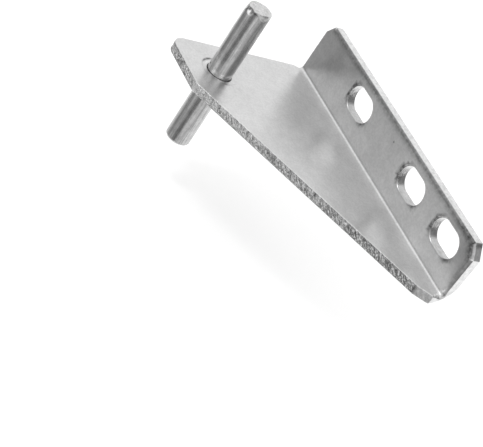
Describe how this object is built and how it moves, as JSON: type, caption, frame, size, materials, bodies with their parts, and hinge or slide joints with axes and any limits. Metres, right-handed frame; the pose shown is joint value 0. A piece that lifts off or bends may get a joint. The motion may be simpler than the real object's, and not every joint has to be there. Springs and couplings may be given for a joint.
{
  "type": "fridge door hinge",
  "caption": "Right-angle corner hinge of bright zinc-plated sheet: a tapering plate with a fixed hinge pin through it and a slotted fixing flange.",
  "frame": {"origin": "on the pin's axis, at the plate's upper face", "axes": "+Z along the pin on the side that the flange rises to; +Y across the fold towards the cabinet, square to the fixing face; +X along the fold from the wide end towards the narrow tip"},
  "size_m": [0.1016, 0.0535, 0.0508],
  "materials": {
    "zinc_sheet": "bright zinc plate on cold-rolled sheet, satin and slightly cloudy, rough where it was sheared",
    "pin_steel": "drawn and turned steel, satin, with fine marks along its length"
  },
  "bodies": {
    "root": {"bracket": "zinc_sheet", "pin": "pin_steel"}
  },
  "joints": []
}
